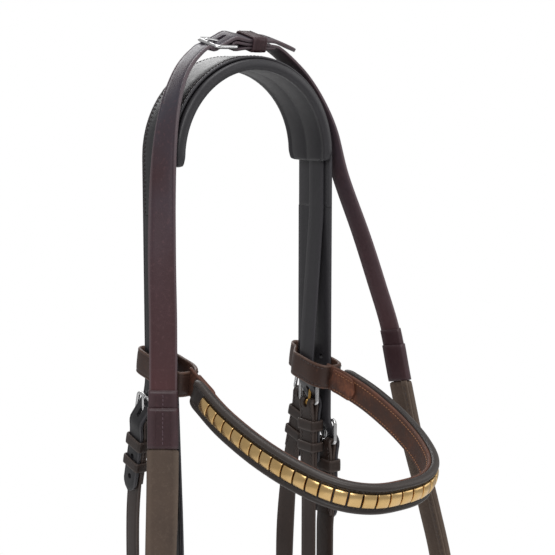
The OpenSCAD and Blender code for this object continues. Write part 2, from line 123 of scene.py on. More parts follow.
REIN_LEFT_ROUTE = [
    (-35, -4, 15.1, 90), (-42, -4.5, 10, 90), (-50, -6, 2.5, 90), (-58, -8.5, -8.5, 92),
    (-66, -12.5, -24, 100), (-72.6, -16, -48, 112), (-77, -19, -80, 126), (-80, -22, -125, 140),
    (-81, -24, -170, 143), (-82.5, -25.5, -215, 143), (-84, -26.5, -255, 143),
    (-86, -28, -292, 150), (-88.5, -29, -335, 163), (-91, -29, -400, 180), (-94, -28, -480, 184),
    (-97, -25, -570, 180), (-99, -20, -660, 174), (-99.5, -13, -750, 168), (-99, -2, -830, 165),
    (-95, 16, -885, 164), (-89, 38, -900, 164), (-83, 58, -880, 162), (-79, 68, -820, 150),
    (-76, 68, -750, 130), (-74, 64, -690, 110), (-72.8, 58.5, -645, 96), (-71.8, 50.8, -605, 90)]
REIN_ROUTES = {"right": REIN_RIGHT_ROUTE, "left": REIN_LEFT_ROUTE}
# The first or last route point of each stretch of a rein
SPLICE_FROM, GRIP_FROM, GRIP_TO, SPLICE_TO = 9, 10, 21, 22
# The browband in its own tilted plane, with its ends lifted or let down, and a loop in plan
BROW_ROUTE = [
    (62, -7, -5), (62.5, -20, -3.2), (62, -46, -1), (59, -76, 0), (54.5, -101, 0), (48.5, -120, 0),
    (41, -135, 0), (31, -145.5, 0), (17, -152, 0), (0, -153.5, 0), (-17, -152, 0), (-31, -145.5, 0),
    (-41, -135, 0), (-48.5, -120, 0), (-54.5, -101, 0), (-59, -76, 0.3), (-62, -46, 2),
    (-62.5, -20, 5.4), (-62, -2.5, 7)]
LOOP_PLAN = [
    (62, -1.6), (69.8, -0.9), (72.8, 5), (72.8, 20), (72.8, 35), (72.8, 45), (71.4, 50.2),
    (67.5, 51.8), (63.8, 48.2), (61.8, 41.5), (57.2, 36.5), (53.4, 31), (53, 21), (53, 9),
    (56.5, 0.2)]


# ---------------------------------------------------------------- paths
class Path:
    """The middle line of a strap: points, and the way its width runs at each of them."""

    def __init__(self, points, across):
        self.points = [Vector(p) for p in points]
        self.across = [Vector(a).normalized() for a in across]

    def __add__(self, other):
        skip = 1 if (self.points[-1] - other.points[0]).length < 0.3 else 0
        return Path(self.points + other.points[skip:], self.across + other.across[skip:])

    def lengths(self):
        out = [0.0]
        for a, b in zip(self.points, self.points[1:]):
            out.append(out[-1] + (b - a).length)
        return out

    def length(self):
        return self.lengths()[-1]

    def at(self, s):
        """Place, heading and across at a distance along the path."""
        run = self.lengths()
        i = 1
        while i < len(run) - 1 and run[i] < s:
            i += 1
        u = (s - run[i - 1]) / max(run[i] - run[i - 1], 1e-6)
        place = self.points[i - 1].lerp(self.points[i], u)
        heading = (self.points[i] - self.points[i - 1]).normalized()
        across = self.across[i - 1].lerp(self.across[i], u)
        return place, heading, (across - across.dot(heading) * heading).normalized()

    def resampled(self, step):
        run = self.lengths()
        count = max(2, round(run[-1] / step))
        points, across, i = [], [], 1
        for k in range(count + 1):
            s = run[-1] * k / count
            while i < len(run) - 1 and run[i] < s:
                i += 1
            u = (s - run[i - 1]) / max(run[i] - run[i - 1], 1e-6)
            points.append(self.points[i - 1].lerp(self.points[i], u))
            across.append(self.across[i - 1].lerp(self.across[i], u))
        return Path(points, across)

    def cut(self, start, end):
        """The stretch between two distances."""
        run = self.lengths()
        keep = [i for i, s in enumerate(run) if start + 0.05 < s < end - 0.05]
        first, last = self.at(start), self.at(end)
        return Path([first[0]] + [self.points[i] for i in keep] + [last[0]],
                    [first[2]] + [self.across[i] for i in keep] + [last[2]])

    def reversed(self):
        """The other way along, with the same outward face."""
        return Path(self.points[::-1], [-a for a in self.across[::-1]])

    def flipped(self):
        """The same way along, with the other face outward."""
        return Path(self.points, [-a for a in self.across])

    def frames(self):
        """At each point: place, heading, across and outward normal."""
        out = []
        last = len(self.points) - 1
        for i, p in enumerate(self.points):
            h = (self.points[min(i + 1, last)] - self.points[max(i - 1, 0)]).normalized()
            a = (self.across[i] - self.across[i].dot(h) * h).normalized()
            out.append((p, h, a, h.cross(a)))
        return out

    def moved(self, matrix):
        turn = matrix.to_3x3()
        return Path([matrix @ p for p in self.points], [turn @ a for a in self.across])

    def mirrored(self):
        """The same strap on the off side, with its outward face still outward."""
        return Path([Vector((-p.x, p.y, p.z)) for p in self.points],
                    [Vector((a.x, -a.y, -a.z)) for a in self.across])


def straight(points, across):
    """A path whose width runs the same way all along."""
    return Path(points, [across] * len(points))


def curve_point(a, b, c, d, u):
    return 0.5 * (2 * b + (c - a) * u + (2 * a - 5 * b + 4 * c - d) * u * u
                  + (3 * b - a - 3 * c + d) * u * u * u)


def smooth(points, steps):
    """A smooth curve through every point, with the same rule as the CAD."""
    pts = [Vector(p) for p in points]
    last = len(pts) - 1
    out = []
    for i in range(last):
        a, b, c, d = pts[max(i - 1, 0)], pts[i], pts[i + 1], pts[min(i + 2, last)]
        out += [curve_point(a, b, c, d, k / steps) for k in range(steps)]
    return out + [pts[last]]


def route_path(route, first=0, last=None, steps=12):
    """A strap along a route of x, y, z and turn, between two of its points."""
    rows = smooth(route, steps)
    last = len(route) - 1 if last is None else last
    rows = rows[first * steps:last * steps + 1]
    return Path([r[:3] for r in rows],
                [(math.cos(math.radians(r[3])), math.sin(math.radians(r[3])), 0) for r in rows])


def filleted(points, radius, steps=5):
    """A polyline with its corners rounded."""
    pts = [Vector(p) for p in points]
    out = [pts[0]]
    for a, b, c in zip(pts, pts[1:], pts[2:]):
        r = min(radius, (b - a).length * 0.49, (c - b).length * 0.49)
        start, end = b + (a - b).normalized() * r, b + (c - b).normalized() * r
        for k in range(steps + 1):
            u = k / steps
            out.append((1 - u) ** 2 * start + 2 * u * (1 - u) * b + u * u * end)
    return out + [pts[-1]]


def lap_line(rows, radius=4.0):
    """A strap seen edge-on in a buckle's own frame: rows are (outward, up), width along Y."""
    return straight(filleted([(x, 0, z) for x, z in rows], radius), (0, 1, 0))


# ---------------------------------------------------------------- places, as in the CAD
def turn(axis, degrees):
    return Matrix.Rotation(math.radians(degrees), 4, axis)


def at(x, y, z):
    return Matrix.Translation((x, y, z))


AT_CHEEK = at(HEEL_X, CHEEK_Y, CHEEK_HEEL_Z)
AT_THROAT = at(HEEL_X, THROAT_Y, THROAT_PIVOT_Z) @ turn("X", 15) @ at(0, 0, -THROAT_HEEL)
AT_HEADSTRAP = at(59.5, NOSE_Y, -247)
AT_NOSEBAND = at(0, NOSE_Y, -430) @ turn("X", NOSE_TILT)
AT_NOSE_BUCKLE = AT_NOSEBAND @ at(NOSE_HALF, 62, 0) @ turn("X", -90)
AT_RING = at(HEEL_X, CHEEK_Y, RING_Z)
AT_RING_TOP = at(HEEL_X, CHEEK_Y, RING_TOP_Z)
AT_REIN_FOLD = AT_RING @ turn("X", 180 + 36) @ at(0, 0, RING_R)
AT_REIN_BUCKLE = at(-12, -4, 18.5) @ turn("X", 15) @ turn("Y", -90)
BROW_Y = -25.4
AT_BROWBAND = at(0, BROW_Y, -218) @ turn("X", 18.5)
SIDES = ("left", "right")


# ---------------------------------------------------------------- mesh building
def new_object(name, bm, material, smooth_shade=True):
    mesh = bpy.data.meshes.new(name)
    bm.normal_update()
    bm.to_mesh(mesh)
    bm.free()
    obj = bpy.data.objects.new(name, mesh)
    bpy.context.scene.collection.objects.link(obj)
    mesh.materials.append(material)
    if smooth_shade:
        for poly in mesh.polygons:
            poly.use_smooth = True
    return obj


def solid(name, bm, material, sharp=None):
    """A closed shape with its faces outward, creased where it turns by more than sharp degrees."""
    bmesh.ops.recalc_face_normals(bm, faces=bm.faces)
    obj = new_object(name, bm, material)
    if sharp:
        obj.data.set_sharp_from_angle(angle=math.radians(sharp))
    return obj


def applied(obj):
    """The object's mesh with its modifiers applied, in the place of the old one."""
    done = bpy.data.meshes.new_from_object(obj.evaluated_get(bpy.context.evaluated_depsgraph_get()))
    obj.modifiers.clear()
    obj.data = done
    return done


def soften(obj):
    """One more subdivision, applied, so rolled and stuffed forms stay round."""
    mod = obj.modifiers.new("soften", "SUBSURF")
    mod.levels = mod.render_levels = 1
    applied(obj)


def bridge(bm, a, b):
    """Faces between two rings of points, either of which may be a single point."""
    count = max(len(a), len(b))
    for k in range(count):
        m = (k + 1) % count
        near = (a[k], a[m]) if len(a) > 1 else (a[0],)
        far = (b[m], b[k]) if len(b) > 1 else (b[0],)
        bm.faces.new(near + far)


def tube(bm, rings):
    """Faces along a row of rings, with both ends closed."""
    for a, b in zip(rings, rings[1:]):
        bridge(bm, a, b)
    cap(bm, rings)


def cap(bm, rings):
    """A face over each end of a row of rings."""
    bm.faces.new(rings[0])
    bm.faces.new(list(reversed(rings[-1])))


def flat_section(w, t, edge=0.9, dome=0.15, groove=0.22):
    """Outline of a leather strap: (across, outward, edge mask), creased near both edges; the mask
    paints a highlight, strongest on the bevels.
    """
    half, top = w / 2, t / 2
    edge = min(edge, t * 0.42)
    face = []
    if groove and w > 9:
        marks = [(-half + 1.7, 0), (-half + 2.2, -groove), (-half + 2.7, 0)]
        face = [(a, top + n) for a, n in marks]
        face += [(a * half, top + dome * (1 - a * a)) for a in (-0.45, 0.0, 0.45)]
        face += [(-a, top + n) for a, n in reversed(marks)]
    else:
        face = [(a * half, top + dome * (1 - a * a)) for a in (-0.5, 0.0, 0.5)]
    out = []
    for sign, centre in ((-1, top - edge), (1, top - edge)):
        corner = [(sign * (half - edge + edge * math.cos(q)), centre + edge * math.sin(q))
                  for q in (0, math.pi / 6, math.pi / 3, math.pi / 2)]
        if sign < 0:
            out += [(a, n, 1.0) for a, n in corner] + [(a, n, 0.0) for a, n in face]
        else:
            out += [(a, n, 1.0) for a, n in reversed(corner)]
    back = [(half * 0.96, -top * 0.72, 1.0), (half * 0.86, -top, 0.6), (half * 0.3, -top, 0.3),
            (-half * 0.3, -top, 0.3), (-half * 0.86, -top, 0.6), (-half * 0.96, -top * 0.72, 1.0)]
    return out + back


def sweep(name, path, section, material, closed=False, size=None, step=2.5):
    """A section swept along a path. size(s, length) gives the scale across and in thickness."""
    path = path.resampled(step)
    frames = path.frames()
    if closed:
        frames = frames[:-1]
    run, total = path.lengths(), path.length()
    bm = bmesh.new()
    uv = bm.loops.layers.uv.new("UVMap")
    # Edge mask: drives the paler edge colour, a painted highlight on bevels and pad rolls.
    shade = bm.verts.layers.float.new("edge")
    along = bm.verts.layers.float.new("along")
    rings = []
    for i, (p, _, a, n) in enumerate(frames):
        sa, sn = size(run[i], total) if size else (1.0, 1.0)
        ring = []
        for u, v, e in section:
            vert = bm.verts.new((p + a * u * sa + n * v * sn) * MM)
            vert[shade] = e
            vert[along] = run[i] * MM
            ring.append(vert)
        rings.append(ring)
    count = len(section)
    reach = [0.0]
    for k in range(count):
        q = section[(k + 1) % count]
        reach.append(reach[-1] + math.hypot(q[0] - section[k][0], q[1] - section[k][1]))
    pairs = list(zip(range(len(rings)), range(1, len(rings))))
    if closed:
        pairs.append((len(rings) - 1, 0))
    for i, j in pairs:
        for k in range(count):
            m = (k + 1) % count
            face = bm.faces.new((rings[i][k], rings[i][m], rings[j][m], rings[j][k]))
            s0, s1 = run[i], run[i + 1]
            for loop, (s, r) in zip(face.loops, ((s0, k), (s0, k + 1), (s1, k + 1), (s1, k))):
                loop[uv].uv = (s * MM, reach[r] * MM)
    if not closed:
        cap(bm, rings)
    return solid(name, bm, material)


def pointed(distance, reach):
    """How wide a strap is at a distance from its pointed end."""
    if not reach or distance >= reach:
        return 1.0
    return max(0.12, math.sin(math.pi / 2 * (distance + 0.4) / (reach + 0.4)) ** 0.75)


def pad_end(reach, narrow, lift=1.5):
    """The size of a pad along its length, narrowed and rounded off over both ends."""
    def size(s, total):
        end = min(s, total - s)
        if end > reach:
            return 1.0, 1.0
        thick = math.sin(math.pi / 2 * (end + lift) / (reach + lift)) ** 0.5
        return narrow + (1 - narrow) * end / reach, thick
    return size


def strap(name, path, w, t, material, tip=0.0, butt=0.0, **options):
    """A flat leather strap. tip and butt are the lengths of its pointed ends."""
    def size(s, total):
        scale = min(pointed(total - s, tip), pointed(s, butt))
        return scale, (1.0 if scale > 0.5 else 0.7 + 0.6 * scale)
    shape = {k: options.pop(k) for k in ("edge", "dome", "groove") if k in options}
    return sweep(name, path, flat_section(w, t, **shape), material, size=size, **options)


def join(name, pieces):
    """Several pieces as one object."""
    first = pieces[0]
    with bpy.context.temp_override(active_object=first, selected_editable_objects=pieces,
                                   selected_objects=pieces, object=first):
        bpy.ops.object.join()
    first.name = name
    first.data.name = name
    return first


def beads(name, places, size, material):
    """Many small rounded stitches: places are (centre, along, up), size is (length, width,
    height)."""
    bm = bmesh.new()
    length, width, height = size
    profile = [(-0.5, 0.0), (-0.38, 0.72), (0.0, 1.0), (0.38, 0.72), (0.5, 0.0)]
    for p, h, n in places:
        side = h.cross(n).normalized()
        rings = []
        for u, r in profile:
            centre = p + h * u * length
            if r == 0.0:
                rings.append([bm.verts.new(centre * MM)])
                continue
            rings.append([bm.verts.new((centre + side * math.cos(q) * r * width / 2
                                        + n * math.sin(q) * r * height / 2) * MM)
                          for q in (k * math.pi / 3 for k in range(6))])
        for a, b in zip(rings, rings[1:]):
            bridge(bm, a, b)
    return solid(name, bm, material)


def stitch_line(path, across, out, start, end, pitch=3.2):
    """Places of the stitches along a path, across and out from its middle, from start to end."""
    fine = path.resampled(1.0)
    frames, run = fine.frames(), fine.lengths()
    places, i, s = [], 0, start + pitch / 2
    while s < end:
        while i < len(run) - 1 and run[i] < s:
            i += 1
        p, h, a, n = frames[i]
        slant = (h + 0.12 * a).normalized()
        places.append((p + a * across + n * out, slant, n))
        s += pitch
    return places


def two_rows(path, across, out, start, end, pitch):
    """The stitches of two rows, the same distance to each side of the path's middle."""
    return [place for edge in (-1, 1)
            for place in stitch_line(path, edge * across, out, start, end, pitch)]


def fold_sewing(path, w, spans, t=LIGHT_T, inset=2.4, pitch=3.2):
    """Two rows of stitches along a strap over each span of distances."""
    return [place for start, end in spans
            for place in two_rows(path, w / 2 - inset, t / 2 + 0.12, start, end, pitch)]


def punch(obj, cuts):
    """Cuts slots with round ends through a strap: each cut is (place, width, low, high),
    along the place's X axis and with its length on the place's Z axis."""
    bm = bmesh.new()
    for place, width, low, high in cuts:
        outline = []
        for k in range(24):
            q = 2 * math.pi * k / 24
            end = high - width / 2 if math.sin(q) >= 0 else low + width / 2
            outline.append((width / 2 * math.cos(q), end + width / 2 * math.sin(q)))
        tube(bm, [[bm.verts.new((place @ Vector((x, y, z))) * MM) for y, z in outline]
                  for x in (-9, 9)])
    bmesh.ops.recalc_face_normals(bm, faces=bm.faces)
    mesh = bpy.data.meshes.new("cut")
    bm.to_mesh(mesh)
    bm.free()
    tool = bpy.data.objects.new("cut", mesh)
    bpy.context.scene.collection.objects.link(tool)
    mod = obj.modifiers.new("cut", "BOOLEAN")
    mod.object = tool
    mod.operation = "DIFFERENCE"
    mod.solver = "EXACT"
    done = applied(obj)
    bpy.data.objects.remove(tool)
    bpy.data.meshes.remove(mesh)
    done.set_sharp_from_angle(angle=math.radians(50))
    return obj


# ---------------------------------------------------------------- materials
class Nodes:
    """A short way to write a material's nodes."""

    def __init__(self, name):
        self.material = bpy.data.materials.new(name)
        self.material.use_nodes = True
        self.tree = self.material.node_tree
        self.shader = self.tree.nodes["Principled BSDF"]

    def add(self, kind, inputs=None, **settings):
        node = self.tree.nodes.new(kind)
        for key, value in settings.items():
            setattr(node, key, value)
        for key, value in (inputs or {}).items():
            if isinstance(value, bpy.types.NodeSocket):
                self.tree.links.new(value, node.inputs[key])
            else:
                node.inputs[key].default_value = value
        return node

    def coordinates(self, which="Object"):
        return self.add("ShaderNodeTexCoord").outputs[which]

    def attribute(self, name):
        return self.add("ShaderNodeAttribute", attribute_name=name).outputs["Fac"]

    def noise(self, vector, scale, detail=4.0, rough=0.55):
        return self.add("ShaderNodeTexNoise", {"Vector": vector, "Scale": scale, "Detail": detail,
                                               "Roughness": rough}).outputs["Fac"]

    def cells(self, vector, scale, feature="F1"):
        return self.add("ShaderNodeTexVoronoi", {"Vector": vector, "Scale": scale},
                        feature=feature).outputs["Distance"]

    def ramp(self, value, stops):
        node = self.add("ShaderNodeValToRGB", {"Fac": value})
        elements = node.color_ramp.elements
        while len(elements) < len(stops):
            elements.new(0.5)
        for element, (at, colour) in zip(elements, stops):
            element.position = at
            element.color = colour if len(colour) == 4 else (*colour, 1)
        return node.outputs["Color"]

    def mix(self, factor, a, b, blend="MIX"):
        node = self.add("ShaderNodeMix", data_type="RGBA", blend_type=blend)
        for socket, value in ((node.inputs[0], factor), (node.inputs[6], a), (node.inputs[7], b)):
            if isinstance(value, bpy.types.NodeSocket):
                self.tree.links.new(value, socket)
            elif isinstance(value, (int, float)):
                socket.default_value = value
            else:
                socket.default_value = (*value, 1)
        return node.outputs[2]

    def math(self, operation, a, b=0.0, clamp=False):
        node = self.add("ShaderNodeMath", {0: a, 1: b}, operation=operation, use_clamp=clamp)
        return node.outputs[0]

    def spread(self, value, low, high, to_low, to_high):
        node = self.add("ShaderNodeMapRange", {"Value": value, "From Min": low, "From Max": high,
                                               "To Min": to_low, "To Max": to_high})
        return node.outputs["Result"]

    def bump(self, height, strength, distance, normal=None):
        inputs = {"Height": height, "Strength": strength, "Distance": distance}
        if normal is not None:
            inputs["Normal"] = normal
        return self.add("ShaderNodeBump", inputs).outputs["Normal"]

    def bumps(self, first, second):
        """Two bumps, each a height, a strength and a distance."""
        self.link(self.bump(*second, self.bump(*first)), "Normal")

    def link(self, output, name):
        self.tree.links.new(output, self.shader.inputs[name])

    def set(self, name, value):
        self.shader.inputs[name].default_value = value


def linear(code):
    """A colour written as six hexadecimal digits, as linear light."""
    parts = [int(code[i:i + 2], 16) / 255 for i in (0, 2, 4)]
    return tuple(c / 12.92 if c <= 0.04045 else ((c + 0.055) / 1.055) ** 2.4 for c in parts)


def leather(name, base, dark, light, edge, rough=0.42, grain=950.0, wear=0.25, fade=None):
    """Finished bridle leather: pebbled grain, patchy colour, fine scuffs and a paler edge, part
    burnish, part painted highlight.
    """
    m = Nodes(name)
    where = m.coordinates()
    broad = m.noise(where, 22.0, 3.0)
    fine = m.noise(where, 420.0, 5.0, 0.65)
    base_colour = linear(base)
    if fade:
        height = m.add("ShaderNodeSeparateXYZ", {0: where}).outputs["Z"]
        low, high, other = fade
        base_colour = m.mix(m.spread(height, low, high, 0.0, 1.0), linear(base), linear(other))
    colour = m.mix(m.spread(broad, 0.35, 0.72, 0.0, 0.75), base_colour, linear(dark))
    colour = m.mix(m.spread(fine, 0.55, 0.8, 0.0, 0.5), colour, linear(light))
    edges = m.attribute("edge")
    scuffs = m.spread(m.noise(where, 130.0, 6.0, 0.7), 0.52, 0.7, 0.0, 1.0)
    # Paler edge colour on the edge mask: a painted highlight along bevelled edges and pad rolls,
    # partly burnished edge.
    colour = m.mix(m.math("MULTIPLY", edges, 0.55), colour, linear(edge))
    colour = m.mix(m.math("MULTIPLY", m.math("MULTIPLY", edges, scuffs), wear, True),
                   colour, linear(light))
    m.link(colour, "Base Color")
    pebbles = m.cells(where, grain)
    creases = m.noise(where, 190.0, 6.0, 0.7)
    m.link(m.spread(m.math("ADD", m.math("MULTIPLY", fine, 0.6), m.math("MULTIPLY", broad, 0.4)),
                    0.3, 0.7, rough - 0.09, rough + 0.12), "Roughness")
    m.bumps((pebbles, 0.16, 0.00018), (creases, 0.20, 0.00035))
    m.set("Specular IOR Level", 0.38)
    m.set("Coat Weight", 0.08)
    m.set("Coat Roughness", 0.32)
    return m.material


def worn_leather(name, shades):
    """Reddish leather, rubbed paler in patches. shades run from the darkest to the palest."""
    m = Nodes(name)
    where = m.coordinates()
    patch = m.noise(where, 55.0, 7.0, 0.72)
    speck = m.noise(where, 260.0, 6.0, 0.7)
    colour = m.ramp(patch, [(at, linear(c)) for at, c in zip((0.34, 0.50, 0.64, 0.80), shades)])
    colour = m.mix(m.spread(speck, 0.58, 0.76, 0.0, 0.45), colour, linear("8a5d45"))
    # Paler colour on the edge mask: a painted highlight along the bevelled edges.
    colour = m.mix(m.math("MULTIPLY", m.attribute("edge"), 0.6), colour, linear("5f3a2a"))
    m.link(colour, "Base Color")
    m.link(m.spread(patch, 0.3, 0.7, 0.42, 0.72), "Roughness")
    m.bumps((m.cells(where, 700.0), 0.2, 0.0002), (speck, 0.35, 0.0004))
    m.set("Specular IOR Level", 0.35)
    return m.material


def grip_rubber(name):
    """Soft brown rubber with rows of small pimples, dust specks, and rounded edges painted paler as
    a painted highlight.
    """
    m = Nodes(name)
    where = m.coordinates()
    dots = m.cells(where, 520.0)
    broad = m.noise(where, 26.0, 4.0)
    dust = m.noise(where, 330.0, 5.0, 0.7)
    colour = m.mix(m.spread(broad, 0.32, 0.7, 0.0, 0.8), linear("4a3d35"), linear("5a4b41"))
    colour = m.mix(m.spread(dust, 0.52, 0.75, 0.0, 0.5), colour, linear("6a5b50"))
    # Paler colour on the edge mask: a painted highlight along the grip's rounded edges.
    colour = m.mix(m.math("MULTIPLY", m.attribute("edge"), 0.45), colour, linear("74665a"))
    m.link(colour, "Base Color")
    m.link(m.spread(broad, 0.3, 0.7, 0.58, 0.74), "Roughness")
    m.bumps((dots, 0.35, 0.00035), (dust, 0.2, 0.0003))
    m.set("Specular IOR Level", 0.3)
    return m.material


def metal(name, base, tint, rough, brush=0.0, scratch=0.25):
    """Polished metal with faint tarnish, hairline scratches and, if brushed, a lay across it."""
    m = Nodes(name)
    where = m.coordinates()
    cloud = m.noise(where, 60.0, 5.0, 0.6)
    lines = m.noise(m.add("ShaderNodeMapping", {"Vector": where, "Scale": (1.0, 1.0, 14.0)}
                          ).outputs[0], 160.0, 4.0, 0.6)
    m.link(m.mix(m.spread(cloud, 0.42, 0.68, 0.0, 0.65), linear(base), linear(tint)), "Base Color")
    m.link(m.spread(m.math("ADD", m.math("MULTIPLY", cloud, 0.5), m.math("MULTIPLY", lines, 0.5)),
                    0.35, 0.65, rough, rough + scratch * 0.5), "Roughness")
    m.link(m.bump(lines, 0.05 + brush, 0.00012), "Normal")
    m.set("Metallic", 1.0)
    return m.material


def thread(name, colour, other):
    """Waxed linen thread."""
    m = Nodes(name)
    where = m.coordinates()
    twist = m.noise(where, 900.0, 3.0)
    m.link(m.mix(twist, linear(colour), linear(other)), "Base Color")
    m.link(m.spread(twist, 0.3, 0.7, 0.55, 0.8), "Roughness")
    m.link(m.bump(twist, 0.3, 0.0002), "Normal")
    return m.material


# The fifth colour of each leather is its paler edge colour: a painted highlight, partly burnished
# edge.
CROWN_LEATHER = leather("crown_leather", "252427", "1b1a1d", "3b3a3e", "4a484c", 0.40)
STRAP_LEATHER = leather("strap_leather", "30241f", "211814", "493a34", "4c403b", 0.42)
BROW_LEATHER = leather("brow_leather", "272220", "1a1615", "443b36", "544a44", 0.38, 800.0, 0.35)
LOOP_LEATHER = leather("loop_leather", "3d2820", "2a1b17", "6a4636", "5f4538", 0.46, 700.0, 0.7)
REIN_LEATHER = leather("rein_leather", "4d2b2d", "3b2022", "68464a", "66585c", 0.40,
                       fade=(-0.22, -0.02, "36333d"))
SPLICE_LEATHER = leather("splice_leather", "381f24", "261417", "55363b", "4c3a3e", 0.44, 820.0)
LINING_LEATHER = worn_leather("lining_leather", ("2a1b17", "3d2820", "5c3727", "7c4d36"))
TAB_LEATHER = worn_leather("tab_leather", ("38221a", "553224", "7d4b35", "a06a4c"))
GRIP_RUBBER = grip_rubber("grip_rubber")
PLATE_BRASS = metal("plate_brass", "dcb981", "c29d62", 0.22, 0.05)
TONGUE_BRASS = metal("brass_hardware", "c9a15c", "a8803f", 0.24)
NICKEL = metal("buckle_nickel", "dcdcdd", "b9b8b6", 0.16)
STEEL = metal("bit_steel", "c9cbce", "a9abad", 0.22, 0.03)
DARK_THREAD = thread("dark_thread", "37302f", "544a48")
TAN_THREAD = thread("tan_thread", "7c5036", "a87650")
PLUM_THREAD = thread("plum_thread", "4c3a42", "6a555c")


BODY = {node: body for body, nodes in frame["record"]["behaviour"]["bodies"].items()
        for node in nodes}


def stand_in(piece, slot, *nodes):
    """A finished piece in the place of CAD nodes of one body."""
    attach(piece, BODY[nodes[0]])
    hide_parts(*nodes)
    return piece


def trim(piece, node):
    """A finished piece that goes with a CAD node and replaces nothing."""
    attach(piece, BODY[node])
    return piece


def sew(name, places, node, size=(2.2, 0.75, 0.55), material=DARK_THREAD):
    """The stitches of a piece, which go with its CAD node."""
    trim(beads(name + "_sewing", places, size, material), node)


def sided(side, path):
    return path if side == "right" else path.mirrored()


def mirror_of(side):
    return Matrix.Identity(4) if side == "right" else Matrix.Scale(-1, 4, (1, 0, 0))


# ---------------------------------------------------------------- parts of a buckle joint
def arc_rows(radius, start, end, steps, low=0.0):
    return [(radius * math.cos(math.radians(start + (end - start) * k / steps)),
             low + radius * math.sin(math.radians(start + (end - start) * k / steps)))
            for k in range(steps + 1)]


def fold_rows(inner, leg=FOLD_LEG):
    """From the end of the inner leg, up and over the heel bar, to the top of the outer leg."""
    return ([(-leg, -inner), (-leg, -10)] + arc_rows(WIRE_R + 0.15 + LIGHT_T / 2, 180, 0, 8)
            + [(leg, -10)])


def lap_rows(up, down):
    return [(LAP_IN, up), (LAP_IN, FRAME_H - 1), (LAP_OUT, 1), (LAP_OUT, -2), (LAP_FLAT, -11),
            (LAP_FLAT, -down)]


def tongue_slots(matrix):
    """The slot in the billet and the one at the top of the fold, for the tongue."""
    return [(matrix, 3.4, 3.6, 12.9)], [(matrix, 4.2, -3.4, 5.6)]


def holes(matrix, heights, width=4.0):
    return [(matrix, width, z - width / 2, z + width / 2) for z in heights]


LEG_X = 1.4
WIRE_LEG = RING_WIRE + 0.4 + LIGHT_T / 2
STUD_Z = 40.0


def ring_fold_rows(outer_up, inner_up):
    """Down the outer leg, round the ring's wire and up the inner leg."""
    return ([(0, outer_up), (0, 72), (LEG_X, 62), (LEG_X, 20), (WIRE_LEG, 2)]
            + arc_rows(WIRE_LEG, 0, -180, 12, -1.3)
            + [(-WIRE_LEG, 2), (-LEG_X, 20), (-LEG_X, inner_up)])


def loop_line(x0, x1, half, z, radius=1.7):
    """The closed middle line of a keeper, seen from above."""
    ring = [(x1, 0), (x1, half), (x0, half), (x0, -half), (x1, -half), (x1, 0)]
    return straight(filleted([(x, y, z) for x, y in ring], radius), (0, 0, 1))


def keeper(name, side, place, w, z, length, material, x0=None, x1=None, t=1.5):
    """A leather loop round the folded strap and its billet, stitched along both edges."""
    x0 = -(LIGHT_T + 0.35) - t / 2 if x0 is None else x0
    x1 = LAP_FLAT + STRAP_T / 2 + 0.35 + t / 2 if x1 is None else x1
    half = w / 2 + 0.4 + t / 2
    path = sided(side, loop_line(x0, x1, half, z - length / 2).moved(place))
    section = flat_section(length, t, 0.6, 0.12, 0.12)
    loop = sweep(name, path, section, material, closed=True, step=0.7)
    face = sided(side, Path([(x1, -half + 2, z - length / 2), (x1, half - 2, z - length / 2)],
                            [(0, 0, 1)] * 2).moved(place))
    places = two_rows(face, length / 2 - 1.5, t / 2 + 0.1, 0, face.length(), 2.6)
    sewing = beads(name + "_sewing", places, (1.9, 0.65, 0.5), DARK_THREAD)
    return join(name, [loop, sewing])


def tongue(name, side, place, material, w=3.4):
    """A buckle tongue: a rolled barrel on the heel bar and a tapered, slightly arched prong."""
    matrix = mirror_of(side) @ place
    bm = bmesh.new()
    inner, outer = WIRE_R + 0.06, 2.75
    edge = [(outer, w / 2 - 0.6), (outer - 0.12, w / 2 - 0.2), (outer - 0.5, w / 2),
            (inner + 0.3, w / 2), (inner, w / 2 - 0.3)]
    profile = [(r, -y) for r, y in reversed(edge)] + edge
    count = 36
    rings = []
    for k in range(count):
        q = 2 * math.pi * k / count
        rings.append([bm.verts.new((matrix @ Vector((r * math.cos(q), y, r * math.sin(q)))) * MM)
                      for r, y in profile])
    for a, b in zip(rings, rings[1:] + rings[:1]):
        bridge(bm, a, b)
    # outward, up, half width and half thickness
    prong = [(0.3, 1.9, 1.5, 1.25), (0.62, 4.2, 1.42, 1.12), (1.05, 7.5, 1.34, 1.05),
             (1.5, 10.5, 1.27, 1.0), (1.95, 13.5, 1.2, 0.98), (2.4, 16.5, 1.15, 0.98),
             (2.62, 18.2, 1.1, 0.95), (2.66, 19.4, 0.9, 0.8), (2.6, 20.2, 0.45, 0.42)]
    turns = [2 * math.pi * k / 16 for k in range(16)]
    tube(bm, [[bm.verts.new((matrix @ Vector((x + t * math.sin(q), h * math.cos(q), z))) * MM)
               for q in turns] for x, z, h, t in prong])
    return solid(name, bm, material, 50)


def buckle_parts(name, tail, side, place, w, keeper_at, runner_at,
                 material=NICKEL, slot="buckle_nickel"):
    """A buckle's fixed keeper, sliding runner and tongue. The loops are (height, length)."""
    for piece, node, (z, length) in (("loop", "keeper", keeper_at),
                                     ("runner_loop", "runner", runner_at)):
        stand_in(keeper(f"{name}_{piece}{tail}", side, place, w, z, length, STRAP_LEATHER),
                 "strap_leather", f"{name}_{node}{tail}")
    stand_in(tongue(f"{name}_prong{tail}", side, place, material), slot, f"{name}_tongue{tail}")


def billet_loops(name, side, place, w, material, slot, node):
    """The two loops that hold a billet's end, over its hook stud."""
    x = LEG_X + LIGHT_T / 2 + 1.05
    loops = [keeper("loop", side, place, w, z, 6, material, -x, x) for z in (30, 54)]
    stand_in(join(name, loops), slot, node)


def stud_hole(matrix):
    return [(matrix, 2.7, STUD_Z - 1.35, STUD_Z + 1.35)]


